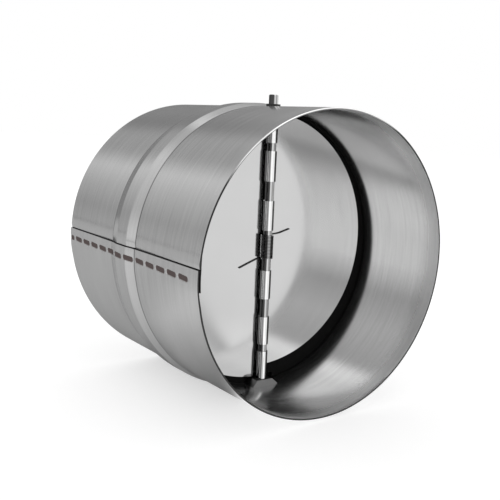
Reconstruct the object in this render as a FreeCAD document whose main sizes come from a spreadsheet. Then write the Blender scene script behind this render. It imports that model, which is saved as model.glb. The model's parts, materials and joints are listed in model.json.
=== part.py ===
"""Duct backdraft damper, nominal 100 mm: a rolled sheet sleeve with two spring-loaded half-disc leaves.

The duct axis is Y. Air enters at the rear (+Y) and leaves at the front (-Y), where the leaves open.
The hinge rod stands along Z, and the origin is where the rod's axis crosses the duct axis.
Lengths are millimetres.
"""
import FreeCAD, Part
import Sketcher
import math
import os
import re

Vector = FreeCAD.Vector

# Driving dimensions: alias, value, what it is
SIZES = (
    ("body_radius", 49.5, "outside radius of the sleeve"),
    ("sheet_wall", 0.6, "sheet thickness of the sleeve"),
    ("front_reach", 36.5, "rod axis to the front rim"),
    ("rear_reach", 53.0, "rod axis to the rear rim"),
    ("bead_start", 1.9, "rod axis to the bead's front foot"),
    ("bead_slope", 4.8, "length of each sloping flank of the bead"),
    ("bead_crest", 6.7, "length of the bead's flat crest"),
    ("bead_height", 1.0, "how far the bead stands out"),
    ("lap_above", 3.4, "lap seam: free edge of the outer layer, above the duct axis"),
    ("lap_below", 2.9, "lap seam: free edge of the inner layer, below the duct axis"),
    ("lap_lift", 0.2, "how far the outer layer stands out of the sleeve"),
    ("lap_sink", 0.3, "how far the inner layer stands into the sleeve"),
    ("lap_ramp", 4.3, "length over which each layer runs back into the sleeve"),
    ("joggle_run", 1.6, "length of the dip that leads under the outer layer's edge"),
    ("weld_pitch", 6.72, "spacing of the weld marks along the seam"),
    ("weld_first", 28.2, "rod axis to the foremost weld mark, towards the front"),
    ("weld_length", 5.5, "length of a weld mark"),
    ("weld_width", 1.6, "width of a weld mark"),
    ("weld_depth", 0.25, "depth of a weld mark"),
    ("rod_radius", 1.6, "radius of the hinge rod"),
    ("rod_above", 3.7, "how far the rod stands out of the sleeve at the top"),
    ("rod_recess", 0.3, "how far the rod's lower end stays inside the sleeve's outside"),
    ("rod_bevel", 0.25, "bevel on the rod's top end"),
    ("bush_wall", 0.45, "wall of the upper bush"),
    ("bush_flange", 0.3, "how far the bush's flange reaches past its barrel"),
    ("bush_flange_height", 0.7, "height of the bush's flange above the sleeve"),
    ("bush_inside", 0.35, "how far the bush's barrel shows inside the sleeve"),
    ("bearing_base_long", 11.4, "lower bearing: foot across the duct"),
    ("bearing_base_deep", 6.0, "lower bearing: foot along the duct"),
    ("bearing_top_long", 6.6, "lower bearing: top across the duct"),
    ("bearing_top_deep", 4.8, "lower bearing: top along the duct"),
    ("bearing_height", 2.4, "lower bearing: height above the sleeve's inside"),
    ("leaf_sheet", 0.3, "sheet thickness of the leaves"),
    ("leaf_margin", 4.15, "inside of the sleeve to a leaf's round edge"),
    ("leaf_offset", 2.05, "round edge's centre from the middle of the leaf pair, along the rod"),
    ("leaf_lift", 0.75, "middle of the leaf pair above the duct axis"),
    ("edge_clearance", 0.07, "leaf's edge to the coil and to the other leaf's knuckles, radially"),
    ("leaf_seam", 0.15, "rod axis to the leaf's edge, behind the bare rod"),
    ("leaf_notch_gap", 0.12, "ends of a knuckle or the coil to the leaf's notch for it"),
    ("knuckle_length", 10.2, "length of a rolled knuckle"),
    ("knuckle_inner", 7.1, "middle of the pair to the inner knuckles"),
    ("knuckle_gap_inner", 6.6, "gap between an inner and a middle knuckle"),
    ("knuckle_gap_outer", 2.7, "gap between a middle and an outer knuckle"),
    ("knuckle_end", 0.2, "how far an outer knuckle stands past the leaf's corner"),
    ("knuckle_mouth", 20.0, "angle at which the roll ends, above the sheet's straight part, in degrees"),
    ("seat_overlap", 4.25, "how far a leaf's round edge reaches over the seal's seat"),
    ("seat_thick", 1.6, "thickness of the seat at its inner edge"),
    ("seal_base", 1.7, "thickness of the seal along the sleeve"),
    ("seal_lip", 0.7, "thickness of the seal's front lip round the leaves"),
    ("seal_lip_reach", 1.15, "how far the lip stands in front of the seat"),
    ("wire_radius", 0.25, "radius of the spring wire"),
    ("coil_turns", 11.0, "whole turns of the spring"),
    ("coil_bottom", -2.1, "height of the coil's lower end"),
    ("coil_length", 8.0, "length of the coil"),
    ("leg_reach", 10.5, "rod axis to the tip of a spring leg"),
    ("leg_rise", 1.6, "how far the upper leg climbs to its tip"),
    ("leg_drop", 3.0, "how far the lower leg falls to its tip"),
    ("leg_turn_out", 1.0, "radius of the turn from the coil to a leg"),
    ("leg_run_upper", 3.2, "level stretch of the upper leg before it bends up"),
    ("leg_run_lower", 0.8, "level stretch of the lower leg before it bends down"),
    ("leg_bend", 3.0, "radius of that bend"),
    ("running_clearance", 0.04, "knuckles and bush round the rod, radially"),
    ("coil_clearance", 0.1, "coil round the rod, radially"),
    ("press_clearance", 0.01, "rod in the lower bearing and bush in its hole, radially"),
    ("seat_clearance", 0.1, "leaf to its seat, and leg to leaf, when shut"),
    ("groove_clearance", 0.05, "seal in the bead's groove"),
    ("notch_clearance", 0.6, "seal's notches round the bush and the lower bearing"),
)

doc = FreeCAD.newDocument("backdraft_damper")
sheet = doc.addObject("Spreadsheet::Sheet", "sizes")
for row, (alias, value, note) in enumerate(SIZES, 1):
    sheet.set(f"A{row}", str(value))
    sheet.setAlias(f"A{row}", alias)
    sheet.set(f"B{row}", note)
doc.recompute()
ALIASES = {alias for alias, value, note in SIZES}


def cell(expression):
    """The expression with each size's name pointed at its cell."""
    def point(match):
        word = match.group()
        return "sizes." + word if word in ALIASES else word
    return re.sub(r"[a-z][a-z_]+", point, expression)


def number(expression):
    """What the expression comes to at the sheet's present values."""
    return float(sheet.evalExpression(expression))


# Sketching and features
def plane(body, role):
    return next(f for f in body.Origin.OriginFeatures if f.Role == role)


def new_sketch(body, name, role, height="0"):
    """A sketch on one of the body's own origin planes, raised along the plane's normal."""
    sketch = body.newObject("Sketcher::SketchObject", name)
    sketch.AttachmentSupport = (plane(body, role), [""])
    sketch.MapMode = "FlatFace"
    sketch.setExpression("AttachmentOffset.Base.z", cell(height))
    return sketch


def place_point(sketch, shape, end, across=None, along=None):
    """Ties one end of a line or arc to the sketch's origin by an expression for each direction."""
    for kind, expression in (("DistanceX", across), ("DistanceY", along)):
        if expression is not None:
            index = sketch.addConstraint(
                Sketcher.Constraint(kind, -1, 1, shape, end, number(expression)))
            sketch.setExpression(f"Constraints[{index}]", cell(expression))


def outline(sketch, corners):
    """A closed straight-sided outline; each corner is a pair of expressions."""
    points = [Vector(number(across), number(along), 0) for across, along in corners]
    count = len(points)
    for i in range(count):
        sketch.addGeometry(Part.LineSegment(points[i], points[(i + 1) % count]))
    for i, (across, along) in enumerate(corners):
        sketch.addConstraint(Sketcher.Constraint("Coincident", i - 1 if i else count - 1, 2, i, 1))
        place_point(sketch, i, 1, across, along)


def rectangle(sketch, long, deep):
    """A rectangle about the sketch's origin."""
    half_long, half_deep = f"({long}) / 2", f"({deep}) / 2"
    outline(sketch, [(f"-{half_long}", f"-{half_deep}"), (half_long, f"-{half_deep}"),
                     (half_long, half_deep), (f"-{half_long}", half_deep)])


def circle(sketch, radius):
    """A circle about the sketch's origin."""
    shape = sketch.addGeometry(Part.Circle(Vector(), Vector(0, 0, 1), number(radius)))
    sketch.addConstraint(Sketcher.Constraint("Coincident", shape, 3, -1, 1))
    index = sketch.addConstraint(Sketcher.Constraint("Radius", shape, number(radius)))
    sketch.setExpression(f"Constraints[{index}]", cell(radius))


def feature(body, kind, name, sketch, **expressions):
    """A feature of the body made from the sketch, with its sizes bound to the sheet."""
    made = body.newObject("PartDesign::" + kind, name)
    made.Profile = sketch
    for size, expression in expressions.items():
        made.setExpression(size, cell(expression))
    return made


def spin(body, name, sketch, axis):
    """A full turn of the sketch about one of its own axes."""
    turn = feature(body, "Revolution", name, sketch)
    turn.ReferenceAxis = (sketch, [axis])
    turn.Angle = 360
    return turn


def combine(kind, name, base, tool):
    made = doc.addObject("Part::" + kind, name)
    made.Base = base
    made.Tool = tool
    return made


def solid(name, shape):
    made = doc.addObject("Part::Feature", name)
    made.Shape = shape
    return made


# The sleeve's section: stations along the duct, with the bead's lift at each
WALL_LINE = (
    ("-front_reach", "0"),
    ("bead_start", "0"),
    ("bead_start + bead_slope", "bead_height"),
    ("bead_start + bead_slope + bead_crest", "bead_height"),
    ("bead_start + 2 * bead_slope + bead_crest", "0"),
    ("rear_reach", "0"),
)


def wall_section(low, high, line=WALL_LINE):
    """Corners of a layer between two offsets from the sleeve's outside, following the bead."""
    over = [(along, f"body_radius + {lift} + {high}") for along, lift in line]
    under = [(along, f"body_radius + {lift} + {low}") for along, lift in reversed(line)]
    return over + under


def lap_layer(stations):
    """A layer of the seam, lofted through sections; each is an angle about the duct and two offsets."""
    wires = []
    for angle, low, high in stations:
        corners = [(number(along), number(radius)) for along, radius in wall_section(low, high)]
        points = [Vector(r * math.cos(angle), y, r * math.sin(angle)) for y, r in corners]
        wires.append(Part.makePolygon(points + points[:1]))
    return Part.makeLoft(wires, True, True)


def bead_lift(along):
    """How far the sleeve's outside stands out at a place along the duct."""
    slope = number("bead_slope")
    into = along - number("bead_start")
    out = number("bead_start + 2 * bead_slope + bead_crest") - along
    return number("bead_height") * max(0.0, min(1.0, into / slope, out / slope))


# Lap seam on the -X side: the outer layer ends above, the inner layer below
RADIUS = number("body_radius")
free_above = math.pi - number("lap_above") / RADIUS
free_below = math.pi + number("lap_below") / RADIUS
ramp = number("lap_ramp") / RADIUS
dip = number("joggle_run") / RADIUS
LAP_STEPS = 3
across_lap = [free_above + (free_below - free_above) * i / LAP_STEPS for i in range(LAP_STEPS + 1)]
MID_WALL = "-sheet_wall / 2"
OVER_LAP = "2 * lap_lift"

sleeve_body = doc.addObject("PartDesign::Body", "sleeve")
sleeve_sketch = new_sketch(sleeve_body, "sleeve_section", "YZ_Plane")
outline(sleeve_sketch, wall_section("-sheet_wall", "0"))
spin(sleeve_body, "sleeve_turn", sleeve_sketch, "H_Axis")

outer_layer = solid("outer_layer", lap_layer(
    [(a, MID_WALL, "lap_lift") for a in across_lap] + [(free_below + ramp, MID_WALL, "-lap_lift / 4")]))
inner_layer = solid("inner_layer", lap_layer(
    [(free_above - ramp, "-sheet_wall + lap_lift / 4", MID_WALL)]
    + [(a, "-sheet_wall - lap_sink", MID_WALL) for a in across_lap]))
joggle = solid("joggle", lap_layer([(free_above - dip, "0", OVER_LAP), (free_above, "-lap_sink", OVER_LAP)]))


WELD_BLUNTNESS = 0.45


def weld_mark(along):
    """A prism with blunt ends that presses one weld mark into the seam's outside."""
    half = number("weld_width") / 2
    reach = number("weld_length") / 2 - half
    floor = RADIUS + bead_lift(along) + number("lap_lift - weld_depth")
    blunt = half * WELD_BLUNTNESS
    end = reach + half
    places = ((-reach, -half), (reach, -half), (end, -blunt), (end, blunt),
              (reach, half), (-reach, half), (-end, blunt), (-end, -blunt))
    corner = [Vector(-floor, along + y, z) for y, z in places]
    face = Part.Face(Part.makePolygon(corner + corner[:1]))
    return face.extrude(Vector(-number("bead_height + lap_lift + weld_depth"), 0, 0))


weld_count = int(number("weld_first + rear_reach") / number("weld_pitch")) + 1
weld_places = [number(f"-weld_first + {i} * weld_pitch") for i in range(weld_count)]
welds = solid("weld_marks", Part.makeCompound([weld_mark(y) for y in weld_places]))

BUSH_BORE = "rod_radius + running_clearance"
BUSH_BARREL = f"{BUSH_BORE} + bush_wall"
bush_hole = doc.addObject("Part::Cylinder", "bush_hole")
bush_hole.setExpression("Radius", cell(f"{BUSH_BARREL} + press_clearance"))
bush_hole.setExpression("Height", cell("body_radius"))
rod_hole = doc.addObject("Part::Cylinder", "rod_hole")
rod_hole.setExpression("Radius", cell("rod_radius + press_clearance"))
rod_hole.setExpression("Height", cell("body_radius"))
rod_hole.setExpression("Placement.Base.z", cell("-body_radius - sheet_wall"))
bush_hole.setExpression("Placement.Base.z", cell("sheet_wall"))

seam = doc.addObject("Part::MultiFuse", "seam")
seam.Shapes = [sleeve_body, outer_layer, inner_layer]
cuts = doc.addObject("Part::Compound", "housing_cuts")
cuts.Links = [joggle, welds, bush_hole, rod_hole]
housing = combine("Cut", "housing", seam, cuts)
housing.Refine = True


# Where the leaves and the other pieces meet
LEAF_BACK = "rod_radius + running_clearance + leaf_sheet"
LEAF_FRONT = "rod_radius + running_clearance"
SEAT_FACE = f"{LEAF_BACK} + seat_clearance"
WALL_INSIDE = "body_radius - sheet_wall"
LEAF_RADIUS = f"({WALL_INSIDE} - leaf_margin)"
SEAL_OUTSIDE = f"{WALL_INSIDE} - groove_clearance"
BEAD_END = "bead_start + 2 * bead_slope + bead_crest"


# Seal ring: fills the bead's inside groove and carries the flat seat behind the leaves
seal_body = doc.addObject("PartDesign::Body", "seal_blank")
seal_sketch = new_sketch(seal_body, "seal_section", "YZ_Plane")
outline(seal_sketch, [
    (f"{SEAT_FACE} - seal_lip_reach", SEAL_OUTSIDE),
    (f"{SEAT_FACE} - seal_lip_reach", f"{SEAL_OUTSIDE} - seal_lip"),
    (SEAT_FACE, f"{SEAL_OUTSIDE} - seal_lip"),
    (SEAT_FACE, f"{LEAF_RADIUS} - seat_overlap"),
    (f"{SEAT_FACE} + seat_thick", f"{LEAF_RADIUS} - seat_overlap"),
    (f"{SEAT_FACE} + 2 * seat_thick", f"{SEAL_OUTSIDE} - seal_base"),
    (BEAD_END, SEAL_OUTSIDE),
    (f"{BEAD_END} - bead_slope", f"{SEAL_OUTSIDE} + bead_height"),
    ("bead_start + bead_slope", f"{SEAL_OUTSIDE} + bead_height"),
    (f"{SEAT_FACE} + groove_clearance", SEAL_OUTSIDE),
])
spin(seal_body, "seal_turn", seal_sketch, "H_Axis")


def notch(name, long, deep, bottom):
    """A box that clears the seal's front for something that stands on the rod's axis."""
    box = doc.addObject("Part::Box", name)
    half = f"(({long}) / 2 + notch_clearance)"
    box.setExpression("Length", cell(f"2 * {half}"))
    box.setExpression("Width", cell(f"({deep}) + 2 * notch_clearance"))
    box.setExpression("Height", cell("body_radius / 4"))
    box.setExpression("Placement.Base.x", cell(f"-{half}"))
    box.setExpression("Placement.Base.y", cell(f"-({deep}) / 2 - notch_clearance"))
    box.setExpression("Placement.Base.z", cell(bottom))
    return box


BEARING_TOP = f"{WALL_INSIDE} - bearing_height"
bush_notch = notch("bush_notch", f"2 * ({BUSH_BARREL})", f"2 * ({BUSH_BARREL})", LEAF_RADIUS)
bearing_notch = notch("bearing_notch", "bearing_base_long", "bearing_base_deep",
                      f"-({BEARING_TOP}) + notch_clearance - body_radius / 4")
seal_cuts = doc.addObject("Part::Compound", "seal_cuts")
seal_cuts.Links = [housing, bush_notch, bearing_notch]
seal_ring = combine("Cut", "seal_ring", seal_body, seal_cuts)


# Hinge rod, from the lower bearing up through the top of the sleeve
rod_body = doc.addObject("PartDesign::Body", "hinge_rod")
rod_sketch = new_sketch(rod_body, "rod_section", "XY_Plane", "rod_recess - body_radius")
circle(rod_sketch, "rod_radius")
ROD_LENGTH = "2 * body_radius - rod_recess + rod_above"
rod_pad = feature(rod_body, "Pad", "rod_length", rod_sketch, Length=ROD_LENGTH)
doc.recompute()
rod_top = max(range(len(rod_pad.Shape.Edges)), key=lambda i: rod_pad.Shape.Edges[i].CenterOfMass.z)
rod_edge = rod_body.newObject("PartDesign::Chamfer", "rod_end")
rod_edge.Base = (rod_pad, [f"Edge{rod_top + 1}"])
rod_edge.setExpression("Size", cell("rod_bevel"))


# Upper bush: a flange outside, seated on the sleeve's curve, and a barrel through the wall
bush_body = doc.addObject("PartDesign::Body", "bush_blank")
bush_sketch = new_sketch(bush_body, "bush_section", "XZ_Plane")
outline(bush_sketch, [
    (BUSH_BORE, f"{WALL_INSIDE} - bush_inside"),
    (BUSH_BARREL, f"{WALL_INSIDE} - bush_inside"),
    (BUSH_BARREL, "body_radius - sheet_wall / 2"),
    (f"{BUSH_BARREL} + bush_flange", "body_radius - sheet_wall / 2"),
    (f"{BUSH_BARREL} + bush_flange", "body_radius + bush_flange_height"),
    (BUSH_BORE, "body_radius + bush_flange_height"),
])
spin(bush_body, "bush_turn", bush_sketch, "V_Axis")
upper_bush = combine("Cut", "upper_bush", bush_body, housing)


# Lower bearing: a tapered block on the inside of the wall, bored for the rod
block_body = doc.addObject("PartDesign::Body", "bearing_blank")
block_foot = new_sketch(block_body, "bearing_foot", "XY_Plane", f"-({WALL_INSIDE})")
rectangle(block_foot, "bearing_base_long", "bearing_base_deep")
block_top = new_sketch(block_body, "bearing_top", "XY_Plane", f"-({BEARING_TOP})")
rectangle(block_top, "bearing_top_long", "bearing_top_deep")
block_loft = feature(block_body, "AdditiveLoft", "bearing_taper", block_foot)
block_loft.Sections = [block_top]
block_loft.Ruled = True
doc.recompute()
bore_sketch = new_sketch(block_body, "bearing_bore", "XY_Plane", f"-({BEARING_TOP})")
circle(bore_sketch, "rod_radius + press_clearance")
bore = feature(block_body, "Pocket", "bearing_bore_cut", bore_sketch, Length="2 * bearing_height")
inside = doc.addObject("Part::Cylinder", "sleeve_inside")
inside.setExpression("Radius", cell(WALL_INSIDE))
inside.setExpression("Height", cell("front_reach + rear_reach"))
inside.Placement = FreeCAD.Placement(Vector(), FreeCAD.Rotation(Vector(1, 0, 0), -90))
inside.setExpression("Placement.Base.y", cell("-front_reach"))
lower_bearing = combine("Common", "lower_bearing", block_body, inside)


# Leaves: one pressing used twice, the second turned over about the duct axis; only the coil's notch differs
OUTER_START = f"(leaf_offset + {LEAF_RADIUS} + knuckle_end - knuckle_length)"
INNER_END = "(knuckle_inner + knuckle_length)"
MIDDLE_SHARE = "knuckle_gap_inner / (knuckle_gap_inner + knuckle_gap_outer)"
MIDDLE_START = f"({INNER_END} + ({OUTER_START} - {INNER_END} - knuckle_length) * {MIDDLE_SHARE})"
OWN_KNUCKLES = (
    ("inner", "knuckle_inner"),
    ("middle", f"-{MIDDLE_START} - knuckle_length"),
    ("outer", OUTER_START),
)
COIL_OUTSIDE = "(rod_radius + coil_clearance + 2 * wire_radius)"
PAST_COIL = f"sqrt(({COIL_OUTSIDE} + edge_clearance)^2 - ({LEAF_FRONT})^2)"
PAST_KNUCKLE = f"sqrt(({LEAF_BACK} + edge_clearance)^2 - ({LEAF_FRONT})^2)"
COIL_MIDDLE = "(coil_bottom + coil_length / 2 - leaf_lift)"
COIL_HALF = "(coil_length / 2 + wire_radius + leaf_notch_gap)"


def edge_steps(side):
    """The edge along the rod, from the outer knuckle down: distance from the rod's axis, and how far down."""
    return (
        ("0", OUTER_START),
        ("leaf_seam", f"{MIDDLE_START} + knuckle_length + leaf_notch_gap"),
        (PAST_KNUCKLE, f"{MIDDLE_START} - leaf_notch_gap"),
        ("leaf_seam", INNER_END),
        ("0", "knuckle_inner"),
        ("leaf_seam", f"{side} * {COIL_MIDDLE} + {COIL_HALF}"),
        (PAST_COIL, f"{side} * {COIL_MIDDLE} - {COIL_HALF}"),
        ("leaf_seam", "leaf_notch_gap - knuckle_inner"),
        (PAST_KNUCKLE, f"-{INNER_END} - leaf_notch_gap"),
        ("leaf_seam", f"-{MIDDLE_START}"),
        ("0", f"-{MIDDLE_START} - knuckle_length"),
        ("leaf_seam", f"-{OUTER_START} + leaf_notch_gap"),
    )


def leaf_plate(body, side):
    """The flat half disc. Its straight edge runs into its own knuckles, closes the gap behind the bare rod,
    and passes the coil and the other leaf's knuckles with a clearance."""
    sketch = new_sketch(body, "leaf_outline", "XZ_Plane", f"-({LEAF_BACK})")
    middle = f"leaf_lift + {side} * leaf_offset"
    turn = 0 if side > 0 else math.pi
    radius = number(LEAF_RADIUS)
    cut = number(PAST_KNUCKLE)
    low = turn - math.pi / 2 + math.asin(cut / radius)
    high = turn + math.pi / 2
    arc = sketch.addGeometry(Part.ArcOfCircle(
        Part.Circle(Vector(0, number(middle), 0), Vector(0, 0, 1), radius), low, high))
    place_point(sketch, arc, 3, "0", middle)
    index = sketch.addConstraint(Sketcher.Constraint("Radius", arc, radius))
    sketch.setExpression(f"Constraints[{index}]", cell(LEAF_RADIUS))
    place_point(sketch, arc, 1, f"{side} * {PAST_KNUCKLE}")
    place_point(sketch, arc, 2, "0")
    corners = []
    steps = edge_steps(side)
    inwards = [across for across, down_to in steps] + [PAST_KNUCKLE]
    for (across, down_to), beyond in zip(steps, inwards[1:]):
        along = f"leaf_lift + {side} * ({down_to})"
        corners += [(f"{side} * {across}", along), (f"{side} * {beyond}", along)]
    ends = [sketch.Geometry[arc].EndPoint]
    ends += [Vector(number(across), number(along), 0) for across, along in corners]
    ends += [sketch.Geometry[arc].StartPoint]
    for first, second in zip(ends, ends[1:]):
        sketch.addGeometry(Part.LineSegment(first, second))
    lines = range(arc + 1, arc + len(ends))
    for line, (across, along) in zip(lines, corners):
        place_point(sketch, line, 2, across, along)
        sketch.addConstraint(Sketcher.Constraint("Coincident", line, 2, line + 1, 1))
    sketch.addConstraint(Sketcher.Constraint("Coincident", arc, 2, lines[0], 1))
    sketch.addConstraint(Sketcher.Constraint("Coincident", lines[-1], 2, arc, 1))
    return feature(body, "Pad", "leaf_plate", sketch, Length="leaf_sheet")


def knuckle_roll(body, side, name, start):
    """One knuckle: the sheet rolled round the rod, from its tangent at the back to a narrow mouth."""
    bottom = start if side > 0 else f"-({start}) - knuckle_length"
    sketch = new_sketch(body, name + "_roll", "XY_Plane", f"leaf_lift + {bottom}")
    mouth = math.radians(number("knuckle_mouth"))
    low, high = (math.pi / 2, 2 * math.pi + mouth) if side > 0 else (-math.pi - mouth, math.pi / 2)
    back, end = (1, 2) if side > 0 else (2, 1)
    arcs = []
    for radius in (LEAF_FRONT, LEAF_BACK):
        arc = sketch.addGeometry(Part.ArcOfCircle(
            Part.Circle(Vector(), Vector(0, 0, 1), number(radius)), low, high))
        sketch.addConstraint(Sketcher.Constraint("Coincident", arc, 3, -1, 1))
        index = sketch.addConstraint(Sketcher.Constraint("Radius", arc, number(radius)))
        sketch.setExpression(f"Constraints[{index}]", cell(radius))
        place_point(sketch, arc, back, "0")
        place_point(sketch, arc, end, None, f"({radius}) * sin(knuckle_mouth * 1deg)")
        arcs.append(arc)
    for where in (back, end):
        first, second = (sketch.getPoint(arc, where) for arc in arcs)
        line = sketch.addGeometry(Part.LineSegment(first, second))
        sketch.addConstraint(Sketcher.Constraint("Coincident", line, 1, arcs[0], where))
        sketch.addConstraint(Sketcher.Constraint("Coincident", line, 2, arcs[1], where))
    return feature(body, "Pad", name + "_knuckle", sketch, Length="knuckle_length")


def leaf(name, side):
    body = doc.addObject("PartDesign::Body", name)
    leaf_plate(body, side)
    for knuckle, start in OWN_KNUCKLES:
        knuckle_roll(body, side, knuckle, start)
    return body


right_leaf = leaf("right_leaf", 1)
left_leaf = leaf("left_leaf", -1)


# Torsion spring: a coil round the rod, with legs that turn out and lie along the front of the leaves
SAME_PLACE = 1e-6


def straight(start, end):
    """The edge between two points, or none where they are one place."""
    return [Part.LineSegment(start, end).toShape()] if start.distanceToPoint(end) > SAME_PLACE else []


def rounded(points, radii):
    """Edges along the points, with an arc at each inner one."""
    edges = []
    start = points[0]
    for before, corner, after, radius in zip(points, points[1:], points[2:], radii):
        to_before = (before - corner).normalize()
        to_after = (after - corner).normalize()
        half = to_before.getAngle(to_after) / 2
        back = radius / math.tan(half)
        enter, leave = corner + to_before * back, corner + to_after * back
        middle_way = (to_before + to_after).normalize()
        centre = corner + middle_way * (radius / math.sin(half))
        edges += straight(start, enter)
        edges.append(Part.Arc(enter, centre - middle_way * radius, leave).toShape())
        start = leave
    return edges + straight(start, points[-1])


# Flat facets keep the long thin wire light: sides of its section, steps in a turn, least steps in an arc
WIRE_SIDES = 6
TURN_STEPS = 13
ARC_STEPS = 3
wire = number("wire_radius")
coil_radius = number("rod_radius + coil_clearance") + wire
tip_depth = number(f"{LEAF_FRONT} - seat_clearance") - wire
reach = number("leg_reach")
turn_out = number("leg_turn_out")
# Angle at which a leg turns out of the coil, for the turn to end level with the front of its leaf
leave = math.asin((tip_depth + turn_out) / (coil_radius + turn_out))
coil_sweep = 2 * math.pi * number("coil_turns") + math.pi - 2 * leave
pitch = number("coil_length") * 2 * math.pi / coil_sweep


def leg(side, height, run, rise):
    """Points of a leg: its place on the coil, the corners of the turn out and of the bend, and the tip."""
    coil_end = Vector(side * coil_radius * math.cos(leave), coil_radius * math.sin(leave), height)
    to_corner = turn_out * math.tan((math.pi / 2 - leave) / 2)
    corner = coil_end + Vector(side * math.sin(leave), -math.cos(leave), 0) * to_corner
    bend = corner + Vector(side * run, 0, 0)
    return [coil_end, corner, bend, Vector(side * reach, tip_depth, height + rise)]


bottom_height = number("coil_bottom")
top_height = bottom_height + number("coil_length")
helix = Part.makeHelix(pitch, number("coil_length"), coil_radius, 0, True)
helix.rotate(Vector(), Vector(0, 0, 1), 180 - math.degrees(leave))
helix.translate(Vector(0, 0, bottom_height))
leg_radii = [turn_out, number("leg_bend")]
lower_points = leg(-1, bottom_height, number("leg_run_lower"), -number("leg_drop"))
lower_leg = rounded(lower_points[::-1], leg_radii[::-1])
upper_leg = rounded(leg(1, top_height, number("leg_run_upper"), number("leg_rise")), leg_radii)
step_length = 2 * math.pi * coil_radius / TURN_STEPS
corner_angles = [2 * math.pi * i / WIRE_SIDES for i in range(WIRE_SIDES)]


def wire_section(edge, place):
    """The wire's section at a place on an edge of its path, square to the path."""
    point = edge.valueAt(place)
    ahead = edge.tangentAt(place)
    side = ahead.cross(Vector(0, 0, 1)).normalize()
    over = side.cross(ahead)
    corners = [point + (side * math.cos(a) + over * math.sin(a)) * wire for a in corner_angles]
    return Part.makePolygon(corners + corners[:1])


sections = [wire_section(lower_leg[0], lower_leg[0].FirstParameter)]
for edge in lower_leg + helix.Edges + upper_leg:
    flat = isinstance(edge.Curve, Part.Line)
    steps = 1 if flat else max(ARC_STEPS, math.ceil(edge.Length / step_length))
    span = edge.LastParameter - edge.FirstParameter
    sections += [wire_section(edge, edge.FirstParameter + span * (i + 1) / steps) for i in range(steps)]
torsion_spring = solid("torsion_spring", Part.makeLoft(sections, True, True))


# Final checks, then one file for each piece
NODES = {
    "housing": housing,
    "seal_ring": seal_ring,
    "hinge_rod": rod_body,
    "upper_bush": upper_bush,
    "lower_bearing": lower_bearing,
    "left_leaf": left_leaf,
    "right_leaf": right_leaf,
    "torsion_spring": torsion_spring,
}
doc.recompute()
for item in doc.Objects:
    assert "Invalid" not in item.State and "Error" not in item.State, f"{item.Name}: {item.State}"
for name, item in NODES.items():
    item.Label = name
    shape = item.Shape
    assert not shape.isNull() and shape.isValid(), f"{name} has no valid shape"
    assert len(shape.Solids) == 1, f"{name} has {len(shape.Solids)} solids"
os.makedirs("parts", exist_ok=True)
for name, item in NODES.items():
    item.Shape.exportStep(f"parts/{name}.step")
    box = item.Shape.BoundBox
    print(f"{name}: volume {item.Shape.Volume:.1f} mm3, x {box.XMin:.2f} {box.XMax:.2f}, "
          f"y {box.YMin:.2f} {box.YMax:.2f}, z {box.ZMin:.2f} {box.ZMax:.2f}")
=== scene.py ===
# %% [markdown]
# # A duct backdraft damper in brushed steel
# The damper is a short sleeve of rolled sheet with a bead round it. Inside, two half-disc leaves hang on one
# rod, and a spring holds them shut against a black rubber seat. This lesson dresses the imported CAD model: the
# frame is loaded first, and each new piece is placed in the same frame, in millimetres turned into metres.

# %% Load the frame
import json
import math

import bpy
import numpy as np
from mathutils import Matrix

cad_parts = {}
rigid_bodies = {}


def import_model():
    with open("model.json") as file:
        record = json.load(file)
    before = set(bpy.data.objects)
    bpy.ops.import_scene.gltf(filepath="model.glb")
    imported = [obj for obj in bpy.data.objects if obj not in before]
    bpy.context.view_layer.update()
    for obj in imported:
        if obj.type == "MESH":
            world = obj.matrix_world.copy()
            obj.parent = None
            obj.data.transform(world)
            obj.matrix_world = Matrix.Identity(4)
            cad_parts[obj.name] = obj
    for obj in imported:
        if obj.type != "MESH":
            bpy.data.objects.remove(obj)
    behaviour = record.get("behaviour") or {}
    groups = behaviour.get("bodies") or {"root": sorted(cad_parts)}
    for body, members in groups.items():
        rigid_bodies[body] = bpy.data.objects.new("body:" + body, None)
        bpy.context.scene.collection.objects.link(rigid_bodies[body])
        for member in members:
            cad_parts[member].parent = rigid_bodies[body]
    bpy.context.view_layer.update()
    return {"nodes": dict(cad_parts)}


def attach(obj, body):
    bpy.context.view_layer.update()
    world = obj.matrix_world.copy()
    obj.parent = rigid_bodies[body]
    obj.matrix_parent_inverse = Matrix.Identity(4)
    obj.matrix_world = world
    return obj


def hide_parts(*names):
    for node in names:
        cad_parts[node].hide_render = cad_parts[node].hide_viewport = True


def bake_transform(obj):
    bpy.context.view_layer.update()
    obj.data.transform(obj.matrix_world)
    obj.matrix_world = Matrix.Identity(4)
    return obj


for leftover in list(bpy.data.objects):
    bpy.data.objects.remove(leftover)
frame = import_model()
nodes = frame["nodes"]
print("nodes:", ", ".join(sorted(nodes)))

# %% [markdown]
# ## The camera
# The photograph looks down the duct from the front left, from about the height of the rod's top end. A
# camera is a place, three axes and a lens. The axes come from an azimuth, an elevation and a small roll, and
# a modest lens shift stands for the photograph's off-centre crop, because a turned camera alone would make
# the sleeve's ends too round.

# %% Camera
MM = 0.001
EYE = (-152.2, -206.9, 41.4)
AZIMUTH, ELEVATION, ROLL = (math.radians(angle) for angle in (-39.66, 14.24, 3.44))
FOCAL_PIXELS, PICTURE_PIXELS = 735.0, 500
SHIFT_ACROSS, SHIFT_UP = -0.11, 0.14


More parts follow.
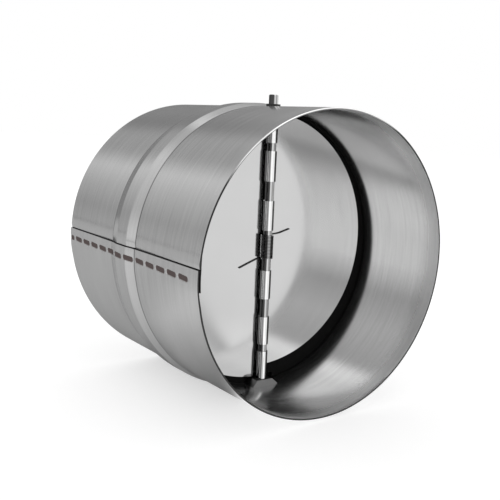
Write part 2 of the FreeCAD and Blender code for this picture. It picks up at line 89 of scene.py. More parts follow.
def camera_axes(azimuth, elevation, roll):
    """Right, up and backward axes: backward points at the azimuth and elevation, and right is level before
    the roll turns right and up about backward."""
    back = np.array([math.sin(azimuth) * math.cos(elevation),
                     -math.cos(azimuth) * math.cos(elevation), math.sin(elevation)])
    level = np.array([math.cos(azimuth), math.sin(azimuth), 0.0])
    upright = np.cross(back, level)
    right = math.cos(roll) * level + math.sin(roll) * upright
    up = math.cos(roll) * upright - math.sin(roll) * level
    return right, up, back


lens = bpy.data.cameras.new("photo_lens")
lens.sensor_width = 36.0
lens.lens = FOCAL_PIXELS / PICTURE_PIXELS * lens.sensor_width
lens.shift_x, lens.shift_y = SHIFT_ACROSS, SHIFT_UP
lens.clip_start, lens.clip_end = 0.01, 50.0
camera = bpy.data.objects.new("photo_camera", lens)
bpy.context.scene.collection.objects.link(camera)
pose = np.eye(4)
pose[:3, 0], pose[:3, 1], pose[:3, 2] = camera_axes(AZIMUTH, ELEVATION, ROLL)
pose[:3, 3] = np.array(EYE) * MM
camera.matrix_world = Matrix(pose.tolist())
bpy.context.scene.camera = camera
bpy.context.scene.view_settings.view_transform = "Standard"
print(f"camera: {lens.lens:.1f} mm lens")

# %% [markdown]
# ## Surfaces from arrays
# Every new piece is a grid of points worked out with whole arrays. A grid needs only its points and the rule
# that joins neighbours into quads. Each row is a closed ring, so its last point joins its first and no seam
# is left open, and one flat face closes each end.

# %% Grid tools
SHARP_EDGE = math.radians(35)


def tube_faces(rows, columns, turned_over=False):
    """Quads between neighbouring points of rings that are stored one after another, and a face on each end.
    Rings whose points run the other way round need them turned over to face outwards."""
    i, j = np.meshgrid(np.arange(rows - 1), np.arange(columns), indexing="ij")
    k, m = i + 1, (j + 1) % columns
    quads = np.stack((i * columns + j, i * columns + m, k * columns + m, k * columns + j), -1).reshape(-1, 4)
    faces = quads.tolist() + [list(range(columns))[::-1], list(range((rows - 1) * columns, rows * columns))]
    return [face[::-1] for face in faces] if turned_over else faces


def make_piece(name, points, faces, material, body, uv=None, values=None):
    """A mesh object at the origin from points in millimetres, shaded smooth with sharp edges kept. uv and
    values, where given, hold a surface place and named numbers for each point."""
    mesh = bpy.data.meshes.new(name)
    mesh.from_pydata((np.asarray(points) * MM).tolist(), [], faces)
    corner_point = np.empty(len(mesh.loops), np.int32)
    mesh.loops.foreach_get("vertex_index", corner_point)
    if uv is not None:
        layer = mesh.uv_layers.new(name="sheet")
        layer.data.foreach_set("uv", np.asarray(uv, np.float32)[corner_point].ravel())
    for label, numbers in (values or {}).items():
        attribute = mesh.attributes.new(label, "FLOAT", "POINT")
        attribute.data.foreach_set("value", np.asarray(numbers, np.float32))
    mesh.polygons.foreach_set("use_smooth", np.ones(len(mesh.polygons), bool))
    mesh.set_sharp_from_angle(angle=SHARP_EDGE)
    mesh.materials.append(material)
    mesh.validate()
    obj = bpy.data.objects.new(name, mesh)
    bpy.context.scene.collection.objects.link(obj)
    if body:
        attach(obj, body)
    print(f"{name}: {len(mesh.polygons)} faces")
    return obj


# %% [markdown]
# ## Finishes
# A finish is a small tree of shader nodes. A short helper adds a node and fills in its sockets, so that each
# finish below reads as a list of what the surface does.

# %% Finish tools
NOISE_LOW, NOISE_HIGH, NOISE_ROUGHNESS = 0.25, 0.75, 0.6


def empty_tree(owner):
    """The emptied shader tree of a material or a world."""
    owner.use_nodes = True
    owner.node_tree.nodes.clear()
    return owner.node_tree


def new_finish(name):
    """A material with only its output and principled shader."""
    finish = bpy.data.materials.new(name)
    tree = empty_tree(finish)
    shader = tree.nodes.new("ShaderNodeBsdfPrincipled")
    output = tree.nodes.new("ShaderNodeOutputMaterial")
    tree.links.new(shader.outputs["BSDF"], output.inputs["Surface"])
    return finish, tree, shader


def add_node(tree, kind, settings=None, **sockets):
    """A node with its settings made and its sockets filled or linked; socket names use _ for a space."""
    node = tree.nodes.new(kind)
    for key, value in (settings or {}).items():
        setattr(node, key, value)
    for key, value in sockets.items():
        fill_socket(tree, node, key.replace("_", " "), value)
    return node


def fill_socket(tree, node, key, value):
    """Links the socket to another node's output, or sets its own value."""
    socket = node.inputs[int(key)] if key.isdigit() else node.inputs[key]
    if isinstance(value, bpy.types.NodeSocket):
        tree.links.new(value, socket)
    else:
        socket.default_value = value


def math_node(tree, operation, first, second=0.0):
    """One sum on two numbers."""
    node = tree.nodes.new("ShaderNodeMath")
    node.operation = operation
    fill_socket(tree, node, "0", first)
    fill_socket(tree, node, "1", second)
    return node.outputs["Value"]


def weighted(tree, first, first_weight, second, second_weight):
    """Two numbers added up, each times its weight."""
    return math_node(tree, "ADD", math_node(tree, "MULTIPLY", first, first_weight),
                     math_node(tree, "MULTIPLY", second, second_weight))


def noise(tree, place, stretch, detail):
    """Cloudy noise on stretched coordinates: the larger the stretch, the finer the noise that way."""
    mapping = add_node(tree, "ShaderNodeMapping", Vector=place, Scale=stretch)
    cloud = add_node(tree, "ShaderNodeTexNoise", Vector=mapping.outputs["Vector"], Scale=1.0,
                     Detail=detail, Roughness=NOISE_ROUGHNESS)
    return cloud.outputs["Fac"]


def spread(tree, value, low, high):
    """The range that noise mostly keeps to, carried to the range from low to high."""
    node = add_node(tree, "ShaderNodeMapRange", Value=value, From_Min=NOISE_LOW, From_Max=NOISE_HIGH,
                    To_Min=low, To_Max=high)
    return node.outputs["Result"]


def grey(tree, value):
    """A neutral colour as bright as the number."""
    node = add_node(tree, "ShaderNodeCombineColor", Red=value, Green=value, Blue=value)
    return node.outputs["Color"]


# %% [markdown]
# ## Brushed sheet
# The sleeve's sheet was brushed along its length before it was rolled, so the fine scratches run round the
# duct. Long thin noise on the sheet's own coordinates gives the scratches, and an anisotropic shader spreads
# each reflection across them, along the duct, which draws the soft bands seen on a rolled pipe. The rest
# reads numbers stored on the mesh: painted shade on the inside under the top, painted shade on the rims with a
# painted highlight on the outer rim at the upper left, the burnt weld marks, painted shade in thin lines at the
# lap's edge and at the bead's feet, and where the steel is duller.

# %% Brushed sheet finish
SHEET_GREYS, SHEET_ROUGH, SHEET_BRUSHING = (0.76, 0.94), (0.14, 0.20), 0.5
FINE_SHARE = 0.75
# Marks laid over the brushed grey, in order: painted shade inside under the top, painted shade on the rims, a
# painted highlight on the outer rim, the burnt weld marks, and painted shade in thin lines at the lap's edge
# and the bead's feet.
SHEET_MARKS = (("shade", (0.46, 0.46, 0.46)), ("painted_rim_shade", (0.05, 0.05, 0.05)), ("painted_rim_highlight", (0.98, 0.98, 0.98)),
               ("burn", (0.19, 0.152, 0.146)), ("painted_crease_shade", (0.012, 0.012, 0.012)))


def blend_colour(tree, amount, first, second):
    """The first colour, giving way to the second as the amount rises to 1."""
    node = add_node(tree, "ShaderNodeMix", {"data_type": "RGBA"}, Factor=amount)
    for socket, colour in ((node.inputs[6], first), (node.inputs[7], second)):
        if isinstance(colour, bpy.types.NodeSocket):
            tree.links.new(colour, socket)
        else:
            socket.default_value = (*colour, 1.0)
    return node.outputs[2]


def mesh_number(tree, name):
    """A number stored on the mesh's points."""
    return add_node(tree, "ShaderNodeAttribute", {"attribute_name": name}).outputs["Fac"]


def brushed_sheet():
    """Metal with fine and broad scratches, its marks laid over one another in the order listed."""
    finish, tree, shader = new_finish("brushed_sheet")
    place = add_node(tree, "ShaderNodeUVMap", {"uv_map": "sheet"}).outputs["UV"]
    fine = noise(tree, place, (1200.0, 40.0, 1.0), detail=4.0)
    broad = noise(tree, place, (330.0, 12.0, 1.0), detail=2.0)
    both = weighted(tree, fine, FINE_SHARE, broad, 1 - FINE_SHARE)
    colour = grey(tree, spread(tree, both, *SHEET_GREYS))
    for name, tone in SHEET_MARKS:
        colour = blend_colour(tree, mesh_number(tree, name), colour, tone)
    fill_socket(tree, shader, "Base Color", colour)
    rough = math_node(tree, "ADD", spread(tree, both, *SHEET_ROUGH), mesh_number(tree, "dull"))
    fill_socket(tree, shader, "Roughness", rough)
    shader.inputs["Metallic"].default_value = 1.0
    shader.inputs["Anisotropic"].default_value = SHEET_BRUSHING
    tangent = add_node(tree, "ShaderNodeTangent", {"direction_type": "UV_MAP", "uv_map": "sheet"})
    fill_socket(tree, shader, "Tangent", tangent.outputs["Tangent"])
    bump = add_node(tree, "ShaderNodeBump", Strength=0.05, Distance=0.00002, Height=both)
    fill_socket(tree, shader, "Normal", bump.outputs["Normal"])
    return finish


BRUSHED = brushed_sheet()
print("finish:", BRUSHED.name)

# %% [markdown]
# ## The sleeve
# One strip of sheet is rolled so that its upper end laps over its lower end on the left side, and a row of
# weld marks holds the lap. A revolve would lose that joint. Here the strip's closed section, outside, rim,
# inside and rim again, is carried along the sheet's own length, a little more than one turn, while its two
# faces step down under the lap at one end and up over it at the other. First come the sheet's sizes and the
# rules for its bead, its two faces and its weld marks.

# %% Sleeve values, in millimetres
RADIUS, WALL = 49.5, 0.6
FRONT, REAR = -36.5, 53.0
BEAD_FOOT, BEAD_SLOPE, BEAD_CREST, BEAD_HEIGHT = 1.9, 4.8, 6.7, 0.985
BEAD_END = BEAD_FOOT + 2 * BEAD_SLOPE + BEAD_CREST
TURN = 2 * math.pi * RADIUS
LAP_ABOVE, LAP_BELOW, LAP_RAMP, JOGGLE = 3.4, 2.9, 4.3, 1.6
LAP_LIFT, LAP_SINK, LAP_GAP = 0.18, 0.3, 0.03
# The next lines set the painted shade along the lap's edge and at the bead's feet, the painted highlight and
# shade on the rims, and the painted shade inside the top.
LAP_SHADE, LAP_FADE = 0.24, 0.12
RIM_ROUND, BEAD_ROUND = 0.26, 0.16
CREASE_SHADE, CREASE_FADE, FRONT_CREASE, REAR_CREASE = 0.2, 0.16, 0.6, 0.35
RIM_HIGHLIGHT_MIDDLE, RIM_HIGHLIGHT_REACH, RIM_HIGHLIGHT_FADE, INNER_RIM_SHADE = 104.0, 44.0, 16.0, 0.65
SHADE_REACH, SHADE_FADE, SHADE_START, SHADE_FRONT = 88.0, 65.0, 2.0, 8.0
MOUTH_REACH, MOUTH_DULL, BURN_DULL = 9.0, 0.25, 0.35
WELD_FIRST, WELD_PITCH, WELD_COUNT = -28.2, 6.72, 13
WELD_LENGTH, WELD_WIDTH, WELD_DEPTH, WELD_EDGE, WELD_TILT = 5.5, 1.65, 0.2, 0.2, 0.05
print(f"sleeve sheet, flat: {TURN + LAP_ABOVE + LAP_BELOW:.1f} by {REAR - FRONT:.1f} mm")


def soft_step(value):
    """Rises smoothly from 0 to 1 as the value does."""
    value = np.clip(value, 0.0, 1.0)
    return value * value * (3 - 2 * value)


def bead_lift(along):
    """A trapezium along the duct, averaged over a short stretch so that its corners are rounded."""
    stretch = np.linspace(-BEAD_ROUND, BEAD_ROUND, 9)
    place = np.asarray(along)[..., None] + stretch
    rise = np.minimum(place - BEAD_FOOT, BEAD_END - place) / BEAD_SLOPE
    return BEAD_HEIGHT * np.clip(rise, 0.0, 1.0).mean(-1)


def sheet_faces(length):
    """Heights of the sheet's outer and inner face over the sleeve's radius, along the sheet: sunk under the
    lap at its start, level round the duct, and lifted over the lap at its end."""
    outer = np.interp(length, [LAP_ABOVE, LAP_ABOVE + JOGGLE, TURN - LAP_BELOW - LAP_RAMP, TURN - LAP_BELOW],
                      [-LAP_SINK - LAP_GAP, 0.0, 0.0, LAP_LIFT])
    inner = np.interp(length, [LAP_ABOVE, LAP_ABOVE + LAP_RAMP,
                               TURN - LAP_BELOW - LAP_RAMP, TURN - LAP_BELOW],
                      [-WALL - LAP_SINK, -WALL, -WALL, -LAP_SINK])
    return outer, inner


def weld_mask(along, length):
    """1 inside a weld mark and 0 outside: the distance from the nearest mark's tilted middle line, past its
    round ends, against the mark's half width."""
    nearest = np.clip(np.round((along - WELD_FIRST) / WELD_PITCH), 0, WELD_COUNT - 1)
    ahead = along - WELD_FIRST - nearest * WELD_PITCH
    past = np.maximum(np.abs(ahead) - (WELD_LENGTH - WELD_WIDTH) / 2, 0.0)
    distance = np.hypot(past, length - TURN - WELD_TILT * ahead)
    return soft_step((WELD_WIDTH / 2 + WELD_EDGE / 2 - distance) / WELD_EDGE)


# %% [markdown]
# ### The sleeve's surface
# Points stand close together only where the sheet bends or a mark starts, and far apart on the plain
# stretches. Each point also carries the numbers that the finish reads, so shape and marks stay together.

# %% Sleeve surface
RAMP_CLOSE, WELD_CLOSE, END_CLOSE, BEAD_CLOSE = 0.6, 1.3, 0.1, 0.4


def sleeve_stations():
    """Places along the sheet, close together at the lap, and along the duct, close together where the bead
    turns and where a weld mark starts and ends."""
    lap_start = TURN - LAP_BELOW - LAP_RAMP
    length = np.concatenate([
        np.linspace(-LAP_BELOW, LAP_ABOVE, 5), np.linspace(LAP_ABOVE, LAP_ABOVE + RAMP_CLOSE, 10)[1:],
        np.linspace(LAP_ABOVE + RAMP_CLOSE, LAP_ABOVE + LAP_RAMP, 10)[1:],
        np.linspace(LAP_ABOVE + LAP_RAMP, lap_start, 240)[1:],
        np.linspace(lap_start, TURN - WELD_CLOSE, 10)[1:],
        np.linspace(TURN - WELD_CLOSE, TURN + WELD_CLOSE, 25)[1:],
        np.linspace(TURN + WELD_CLOSE, TURN + LAP_ABOVE - END_CLOSE, 5)[1:], [TURN + LAP_ABOVE]])
    bead = np.concatenate([corner + np.linspace(-BEAD_CLOSE, BEAD_CLOSE, 9) for corner in
                           (BEAD_FOOT, BEAD_FOOT + BEAD_SLOPE, BEAD_END - BEAD_SLOPE, BEAD_END)])
    half_mark = np.array([0.9, 1.6, 2.0, 2.25, 2.45, 2.6, 2.7, 2.8])
    mark = np.concatenate([-half_mark, [0.0], half_mark])
    welds = (WELD_FIRST + WELD_PITCH * np.arange(WELD_COUNT))[:, None] + mark
    plain = np.concatenate([np.linspace(FRONT + RIM_ROUND, FRONT + MOUTH_REACH, 7),
                            np.linspace(FRONT + MOUTH_REACH, REAR - RIM_ROUND, 11)[1:]])
    welds = welds[(welds > plain[0]) & (welds < plain[-1])]
    outside = np.unique(np.concatenate([plain, bead, welds]).round(3))
    inside = np.unique(np.concatenate([plain, bead]).round(3))
    return length, outside, inside


def sleeve_points():
    """The strip's closed section at each place along the sheet. A point's angle falls as the sheet's length
    grows, starting at the left side, and its radius is the sleeve's plus the bead's and the face's height."""
    length, outside, inside = sleeve_stations()
    outer, inner = sheet_faces(length)
    turn = np.linspace(0, math.pi / 2, 4)
    round_in, round_up = RIM_ROUND * (1 - np.sin(turn)), RIM_ROUND * (1 - np.cos(turn))
    along = np.concatenate([outside, REAR - round_in, (REAR - round_in)[::-1], inside[::-1],
                            FRONT + round_in, (FRONT + round_in)[::-1]])
    face = np.concatenate([np.ones(len(outside) + 4), np.zeros(len(inside) + 8), np.ones(4)])
    sink = np.concatenate([np.zeros(len(outside)), round_up, -round_up[::-1], np.zeros(len(inside)),
                           -round_up, round_up[::-1]])
    height = np.where(face[None, :] > 0, outer[:, None], inner[:, None]) - sink[None, :]
    burn = weld_mask(along[None, :], length[:, None]) * face[None, :]
    # Painted shade in a thin dark line along the lap's free edge and at the bead's two feet.
    lap = 1 - soft_step((length - LAP_ABOVE - LAP_SHADE) / LAP_FADE)
    lap[-1] = 1.0
    feet = np.abs(along[:, None] - np.array([BEAD_FOOT, BEAD_END]))
    crease = ((1 - soft_step((feet - CREASE_SHADE) / CREASE_FADE)) * [FRONT_CREASE, REAR_CREASE]).max(-1)
    painted_crease_shade = np.maximum(lap[:, None], crease[None, :]) * face[None, :]
    radius = RADIUS + bead_lift(along)[None, :] + height - WELD_DEPTH * burn
    angle = math.pi - length[:, None] / RADIUS
    # The rims' painted lit side, round the upper left: a painted highlight on the outer rim there.
    polished = soft_step((RIM_HIGHLIGHT_REACH - np.abs(np.degrees(angle) - RIM_HIGHLIGHT_MIDDLE)) / RIM_HIGHLIGHT_FADE)
    # Painted shade on the inside, darkest under the top and fading out towards the front rim.
    under_top = soft_step((SHADE_REACH - np.abs(np.degrees(angle) - 90.0)) / SHADE_FADE)
    under_top = under_top * soft_step((along - FRONT - SHADE_START) / SHADE_FRONT)
    mouth = soft_step((FRONT + MOUTH_REACH - along) / MOUTH_REACH) * (1 - face)
    inner_rim, outer_rim = (sink < 0.0)[None, :], (sink > 0.0)[None, :]
    # Painted shade on both rims, except on the painted lit side, where the inner rim gets a lighter painted
    # shade.
    painted_rim_shade = (inner_rim | outer_rim) * (1 - polished) + INNER_RIM_SHADE * inner_rim * polished
    points = np.stack([radius * np.cos(angle), np.broadcast_to(along, radius.shape),
                       radius * np.sin(angle)], -1)
    uv = np.stack([np.broadcast_to(along, radius.shape), np.broadcast_to(length[:, None], radius.shape)], -1)
    return points, uv * MM, {
        "burn": burn.ravel(), "painted_crease_shade": painted_crease_shade.ravel(), "painted_rim_shade": painted_rim_shade.ravel(),
        "painted_rim_highlight": (outer_rim * polished).ravel(), "shade": (under_top * (1 - face)).ravel(),
        "dull": (BURN_DULL * burn + MOUTH_DULL * mouth).ravel()}


strip, strip_uv, strip_values = sleeve_points()
rows, columns = strip.shape[:2]
strip_faces = tube_faces(rows, columns, turned_over=True)
sleeve = make_piece("rolled_sleeve", strip.reshape(-1, 3), strip_faces, BRUSHED, "sleeve",
                    uv=strip_uv.reshape(-1, 2), values=strip_values)
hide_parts("housing")

# %% [markdown]
# ## Bright leaves and rod
# The leaves are thin bright sheet, almost a mirror, so most of their look is what they reflect: the white
# floor in front, the rod, and on the right the inside of the sleeve. A low roughness with a faint cloudy
# change keeps them from looking like glass. The CAD shapes of the leaves are right, knuckles included, so
# they only get this finish. Close to the rod, the colour has a painted highlight on one side and a painted dark
# line along it, and on the knuckles and the rod painted shade round the back: knuckles, rod and coil each have
# their own angles for that.

# %% Bright finish
def degrees_round(tree, first, second):
    """The angle of a direction, in degrees, from its two parts."""
    return math_node(tree, "MULTIPLY", math_node(tree, "ARCTAN2", first, second), 180 / math.pi)


def fade(tree, value, start, end):
    """Rises smoothly from 0 to 1 between start and end."""
    node = add_node(tree, "ShaderNodeMapRange", {"interpolation_type": "SMOOTHSTEP"}, Value=value,
                    From_Min=start, From_Max=end)
    return node.outputs["Result"]


def level_distance(tree, parts):
    """Distance from the upright axis through the origin."""
    squares = [math_node(tree, "MULTIPLY", parts.outputs[axis], parts.outputs[axis]) for axis in "XY"]
    return math_node(tree, "SQRT", math_node(tree, "ADD", *squares))


def turned_away(tree, parts, degrees, half_width, soft=4.0):
    """0 on the side of the rod that faces the given direction and 1 round the back. Straight out of the front
    is 0 degrees, and right is positive."""
    ahead, right = math.cos(math.radians(degrees)), math.sin(math.radians(degrees))
    x, y = parts.outputs["X"], parts.outputs["Y"]
    across = math_node(tree, "ABSOLUTE", weighted(tree, x, ahead, y, right))
    angle = degrees_round(tree, across, weighted(tree, x, right, y, -ahead))
    return fade(tree, angle, half_width - soft, half_width + soft)


LINE_HALF_WIDTH, REACH_FADE = 10.0, 0.1 * MM


def bright_metal(name, low, high, rough_low, rough_high, polished=None):
    """Smooth metal whose brightness and roughness drift a little over the surface. The last argument, where
    given, says between which angles round the rod a painted highlight lies, at which angle a painted dark line
    runs, how far from the rod this counts, and how bright the colour is on that painted lit side, on the line,
    and round the back."""
    finish, tree, shader = new_finish(name)
    place = add_node(tree, "ShaderNodeTexCoord").outputs["Object"]
    drift = noise(tree, place, (90.0, 90.0, 90.0), detail=2.0)
    colour = grey(tree, spread(tree, drift, low, high))
    if polished:
        # Painted light close to the rod: a painted highlight on the lit side, a painted dark line, and a darker
        # colour round the back, which is painted shade on the knuckles and the rod and the wire's own dark
        # colour on the coil.
        start, end, middle, reach, side, line, dull = polished
        parts = add_node(tree, "ShaderNodeSeparateXYZ", Vector=place)
        near = fade(tree, level_distance(tree, parts), reach + REACH_FADE, reach - REACH_FADE)
        off_line = turned_away(tree, parts, middle, LINE_HALF_WIDTH)
        round_rod = blend_colour(tree, off_line, (line,) * 3, (side,) * 3)
        away = turned_away(tree, parts, (start + end) / 2, (end - start) / 2)
        round_rod = blend_colour(tree, away, round_rod, (dull,) * 3)
        colour = blend_colour(tree, near, colour, round_rod)
    fill_socket(tree, shader, "Base Color", colour)
    fill_socket(tree, shader, "Roughness", spread(tree, drift, rough_low, rough_high))
    shader.inputs["Metallic"].default_value = 1.0
    return finish


# Knuckles and rod: a painted highlight on one side, a painted dark line, and painted shade round the back.
# Coil: dark wire with a painted highlight stripe.
LEAF_SHEET = bright_metal("bright_leaf_sheet_painted_knuckle_light", 0.61, 0.63, 0.10, 0.13,
                          polished=(-76, 3, -44, 2.4 * MM, 0.97, 0.25, 0.13))
ROD_STEEL = bright_metal("polished_rod_painted_light", 0.60, 0.66, 0.06, 0.09,
                         polished=(-30, 54, 2, 10 * MM, 0.66, 0.3, 0.07))
BEARING_STEEL = bright_metal("satin_bearing", 0.16, 0.20, 0.30, 0.36)
SPRING_STEEL = bright_metal("dark_spring_wire_painted_highlight", 0.42, 0.48, 0.14, 0.18,
                            polished=(-31, -5, -18, 100 * MM, 0.45, 0.45, 0.06))


def repaint(node, finish):
    """Puts one finish on a CAD node."""
    nodes[node].material_slots[0].material = finish


for leaf in ("left_leaf", "right_leaf"):
    repaint(leaf, LEAF_SHEET)
repaint("lower_bearing", BEARING_STEEL)
print("bright finishes on the leaves and the bearing")

# %% [markdown]
# ## Rubber seal and dark bush
# Both are black and dull. The rubber reflects almost nothing, so its fine grain shows only at a glance.

# %% Black finishes
def black_moulding(name, shade, rough, specular):
    """A dark finish with a fine grain that changes its shade and its surface a little."""
    finish, tree, shader = new_finish(name)
    place = add_node(tree, "ShaderNodeTexCoord").outputs["Object"]
    grain = noise(tree, place, (1800.0, 1800.0, 1800.0), detail=2.0)
    fill_socket(tree, shader, "Base Color", grey(tree, spread(tree, grain, shade * 0.8, shade * 1.2)))
    shader.inputs["Roughness"].default_value = rough
    shader.inputs["Specular IOR Level"].default_value = specular
    bump = add_node(tree, "ShaderNodeBump", Strength=0.2, Distance=0.00005, Height=grain)
    fill_socket(tree, shader, "Normal", bump.outputs["Normal"])
    return finish


repaint("seal_ring", black_moulding("black_rubber", 0.004, 0.8, 0.12))
repaint("upper_bush", black_moulding("dark_bush", 0.02, 0.5, 0.4))
print("black finishes on the seal and the bush")

# %% [markdown]
# ## The rod
# A plain polished rod with a small bevel at its top. It is a profile of radius against height, turned about
# the upright axis, with enough steps that its reflections stay smooth.

# %% Rod
ROD_RADIUS, ROD_BOTTOM, ROD_TOP, ROD_BEVEL, ROD_STEPS = 1.6, -49.2, 53.2, 0.25, 72


def turned(radius, height, steps):
    """A profile turned about the upright axis: each profile point becomes a ring."""
    angle = np.linspace(0, 2 * math.pi, steps, endpoint=False)
    radius, height = np.asarray(radius)[:, None], np.asarray(height)[:, None]
    return np.stack([radius * np.cos(angle), radius * np.sin(angle),
                     np.broadcast_to(height, (len(height), steps))], -1)


rod_rings = turned([ROD_RADIUS, ROD_RADIUS, ROD_RADIUS - ROD_BEVEL],
                   [ROD_BOTTOM, ROD_TOP - ROD_BEVEL, ROD_TOP], ROD_STEPS)
rod = make_piece("turned_rod", rod_rings.reshape(-1, 3), tube_faces(len(rod_rings), ROD_STEPS), ROD_STEEL,
                 "sleeve")
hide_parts("hinge_rod")

# %% [markdown]
# ## The torsion spring
# Close-wound round wire on the middle of the rod. Its coil stays with the sleeve, and each leg turns out of
# the coil and lies along its leaf. The wire is a circle carried along a path: a helix for the coil, a bent
# line for each leg.

# %% Spring
WIRE, COIL_RADIUS, COIL_BOTTOM, COIL_TOP, COIL_TURNS = 0.25, 1.98, -2.1, 6.2, 16
LEG_REACH, LEG_DEPTH, TURN_OUT = 10.5, 1.33, 1.0
LEAVE = math.asin((LEG_DEPTH + TURN_OUT) / (COIL_RADIUS + TURN_OUT))


def wire_points(path, steps=14):
    """A circle of the wire's radius at each point of a path, square to it: one radius lies level, and the
    other is square to that and to the path."""
    ahead = np.gradient(path, axis=0)
    ahead /= np.linalg.norm(ahead, axis=1, keepdims=True)
    level = np.cross(ahead, [0.0, 0.0, 1.0])
    level /= np.linalg.norm(level, axis=1, keepdims=True)
    over = np.cross(level, ahead)
    angle = np.linspace(0, 2 * math.pi, steps, endpoint=False)[None, :, None]
    return path[:, None, :] + WIRE * (np.cos(angle) * level[:, None, :] + np.sin(angle) * over[:, None, :])


def wire_piece(name, path, body=None):
    """A length of spring wire with closed ends."""
    tube = wire_points(path)
    count, steps = tube.shape[:2]
    faces = tube_faces(count, steps, turned_over=True)
    obj = make_piece(name, tube.reshape(-1, 3), faces, SPRING_STEEL, body)
    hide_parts("torsion_spring")
    return obj


winding = np.linspace(0, 1, COIL_TURNS * 40)
coil_angle = math.pi - LEAVE - (2 * math.pi * COIL_TURNS + math.pi - 2 * LEAVE) * winding
coil_path = np.stack([COIL_RADIUS * np.cos(coil_angle), COIL_RADIUS * np.sin(coil_angle),
                      COIL_BOTTOM + (COIL_TOP - COIL_BOTTOM) * winding], -1)
wire_piece("spring_coil", coil_path, "sleeve")


def leg_path(side, height, run, rise):
    """A quarter-like turn from the coil to the front of the leaf, a level run, and a slope to the tip; a
    quadratic curve rounds the corner between run and slope."""
    turn = np.linspace(LEAVE, math.pi / 2, 8)
    centre = (COIL_RADIUS + TURN_OUT) * np.array([math.cos(LEAVE), math.sin(LEAVE)])
    out = np.stack([side * (centre[0] - TURN_OUT * np.cos(turn)), centre[1] - TURN_OUT * np.sin(turn),
                    np.full(len(turn), height)], -1)
    corner = out[-1] + [side * run, 0, 0]
    tip = np.array([side * LEG_REACH, LEG_DEPTH, height + rise])
    first, last = corner + (out[-1] - corner) * 0.9, corner + (tip - corner) * 0.3
    t = np.linspace(0, 1, 10)[:, None]
    bend = (1 - t) ** 2 * first + 2 * t * (1 - t) * corner + t ** 2 * last
    return np.concatenate([out, bend, [last + (tip - last) * 0.5], [tip]])


for name, side, height, run, rise, body in (("spring_leg_left", -1, COIL_BOTTOM, 0.9, -3.0, "left"),
                                            ("spring_leg_right", 1, COIL_TOP, 3.2, 1.6, "right")):
    leg = wire_piece(name, leg_path(side, height, run, rise))
    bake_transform(leg)

# %% [markdown]
# ## Floor, light and background
# The photograph has a white ground with a soft shadow. The floor is grey paper that glows white to the
# camera, so it keeps the sleeve's shadow. Steel needs something to reflect: white cards lie in front, the
# studio is bright overhead, and it is darker behind. Both are lines of brightness against an angle, looked
# up on a colour ramp.

# %% Stage tools
def ramp(tree, value, low, high, stops):
    """A number looked up on a line of stops: each stop is a place between low and high and a brightness."""
    place = add_node(tree, "ShaderNodeMapRange", Value=value, From_Min=low, From_Max=high)
    node = add_node(tree, "ShaderNodeValToRGB", Fac=place.outputs["Result"])
    elements = node.color_ramp.elements
    while len(elements) < len(stops):
        elements.new(0.5)
    for element, (where, level) in zip(elements, stops):
        element.position = (where - low) / (high - low)
        element.color = (level, level, level, 1.0)
    return node.outputs["Color"]


# %% [markdown]
# ### The floor
# The camera sees plain paper, and the metal sees paper whose shade changes round the part, with white cards
# in front that glow a little more close by. The floor is part of the stage, so it is not one of the pieces.

# %% Floor
FLOOR_HEIGHT, FLOOR_REACH = -50.6, 4.0
# By angle round the floor, from straight ahead, to the right: the paper that metal sees, and white cards
FLOOR_PAPER = ((-180, 0.3), (-165, 0.34), (-150, 0.44), (-138, 0.385), (-126, 0.6), (-116, 0.57),
               (-104, 0.52), (-84, 0.38), (-70, 0.5), (150, 0.5), (165, 0.36), (180, 0.3))
FLOOR_CARDS = ((-180, 0.0), (-68, 0.0), (-52, 0.5), (2, 0.55), (13, 0.25), (19, 0.12), (24, 0.5),
               (52, 0.53), (64, 0.0), (180, 0.0))
FAR_START, FAR_END, FAR_PAPER = 0.15, 0.7, 0.41
NEAR_START, NEAR_END, NEAR_LIFT = 0.12, 0.05, 0.4
CAMERA_PAPER, CAMERA_GLOW = 0.55, 0.555


def pale_floor():
    """Grey paper, with a glow that makes it white to the camera, and cards that only metal sees."""
    finish = bpy.data.materials.new("pale_floor")
    tree = empty_tree(finish)
    path = tree.nodes.new("ShaderNodeLightPath")
    in_metal = path.outputs["Is Glossy Ray"]
    parts = add_node(tree, "ShaderNodeSeparateXYZ",
                     Vector=add_node(tree, "ShaderNodeTexCoord").outputs["Object"])
    ahead = math_node(tree, "MULTIPLY", parts.outputs["Y"], -1.0)
    angle = degrees_round(tree, parts.outputs["X"], ahead)
    away = level_distance(tree, parts)
    far_behind = fade(tree, parts.outputs["Y"], FAR_START, FAR_END)
    paper = blend_colour(tree, far_behind, ramp(tree, angle, -180, 180, FLOOR_PAPER), (FAR_PAPER,) * 3)
    paper = blend_colour(tree, in_metal, (CAMERA_PAPER,) * 3, paper)
    lift = math_node(tree, "MULTIPLY", fade(tree, away, NEAR_START, NEAR_END), NEAR_LIFT)
    cards = math_node(tree, "MULTIPLY", ramp(tree, angle, -180, 180, FLOOR_CARDS),
                      math_node(tree, "ADD", lift, 1.0))
    seen = math_node(tree, "MAXIMUM", path.outputs["Is Camera Ray"], path.outputs["Is Transmission Ray"])
    glow = weighted(tree, seen, CAMERA_GLOW, in_metal, cards)
    matt = add_node(tree, "ShaderNodeBsdfDiffuse", Color=paper)
    light = add_node(tree, "ShaderNodeEmission", Strength=glow)
    both = tree.nodes.new("ShaderNodeAddShader")
    tree.links.new(matt.outputs["BSDF"], both.inputs[0])
    tree.links.new(light.outputs["Emission"], both.inputs[1])
    output = tree.nodes.new("ShaderNodeOutputMaterial")
    tree.links.new(both.outputs["Shader"], output.inputs["Surface"])
    return finish


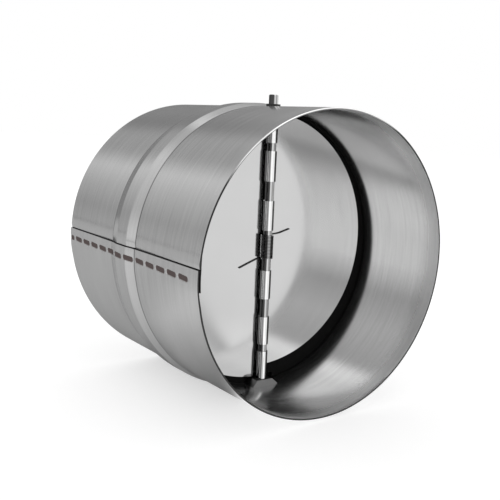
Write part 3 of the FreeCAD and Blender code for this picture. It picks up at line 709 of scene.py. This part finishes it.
floor_mesh = bpy.data.meshes.new("floor")
floor_mesh.from_pydata([(x * FLOOR_REACH, y * FLOOR_REACH, FLOOR_HEIGHT * MM)
                        for x, y in ((-1, -1), (1, -1), (1, 1), (-1, 1))], [], [[0, 1, 2, 3]])
floor_mesh.materials.append(pale_floor())
floor = bpy.data.objects.new("floor", floor_mesh)
bpy.context.scene.collection.objects.link(floor)
print("floor at", FLOOR_HEIGHT, "mm")

# %% [markdown]
# ### The studio
# The world is plain white to the camera and for soft light. In the metal it is two ramps round the duct axis:
# a dim one behind the part, and a bright one to the sides and in front.

# %% Studio
# Brightness round the duct axis, from the right horizon at 0 degrees over the top to the left one at 180
BEHIND = ((0, 0.15), (45, 0.19), (68, 0.15), (82, 0.275), (105, 0.255), (121, 0.46), (140, 0.35),
          (163, 0.25), (180, 0.29))
IN_FRONT = ((0, 0.77), (12, 0.77), (30, 0.72), (47, 0.86), (70, 0.84), (80, 1.0), (86, 1.0), (94, 0.43),
            (129, 0.53), (158, 0.40), (172, 0.62), (180, 0.72))
STUDIO_LEVEL, STRAIGHT_BEHIND = 1.3, (0.16, 0.16, 0.16)
BEHIND_START, BEHIND_FULL, SIDE_START, SIDE_FULL = 0.91, 0.99, 0.87, 0.38


def studio():
    """White to the camera; in reflections, two ramps round the duct axis, one behind and one in front, and
    darker straight behind."""
    world = bpy.data.worlds.new("studio")
    bpy.context.scene.world = world
    tree = empty_tree(world)
    parts = add_node(tree, "ShaderNodeSeparateXYZ",
                     Vector=add_node(tree, "ShaderNodeTexCoord").outputs["Generated"])
    round_axis = degrees_round(tree, parts.outputs["Z"], parts.outputs["X"])
    behind = ramp(tree, round_axis, 0, 180, BEHIND)
    in_front = ramp(tree, round_axis, 0, 180, IN_FRONT)
    behind_part = fade(tree, parts.outputs["Y"], BEHIND_START, BEHIND_FULL)
    behind = blend_colour(tree, behind_part, behind, STRAIGHT_BEHIND)
    beside_part = fade(tree, parts.outputs["Y"], SIDE_START, SIDE_FULL)
    reflected = blend_colour(tree, beside_part, behind, in_front)
    in_metal = tree.nodes.new("ShaderNodeLightPath").outputs["Is Glossy Ray"]
    shown = blend_colour(tree, in_metal, (1.0, 1.0, 1.0), reflected)
    strength = add_node(tree, "ShaderNodeMapRange", Value=in_metal, To_Min=1.0, To_Max=STUDIO_LEVEL)
    sky = add_node(tree, "ShaderNodeBackground", Color=shown, Strength=strength.outputs["Result"])
    output = tree.nodes.new("ShaderNodeOutputWorld")
    tree.links.new(sky.outputs["Background"], output.inputs["Surface"])


studio()
print("studio:", bpy.context.scene.world.name)
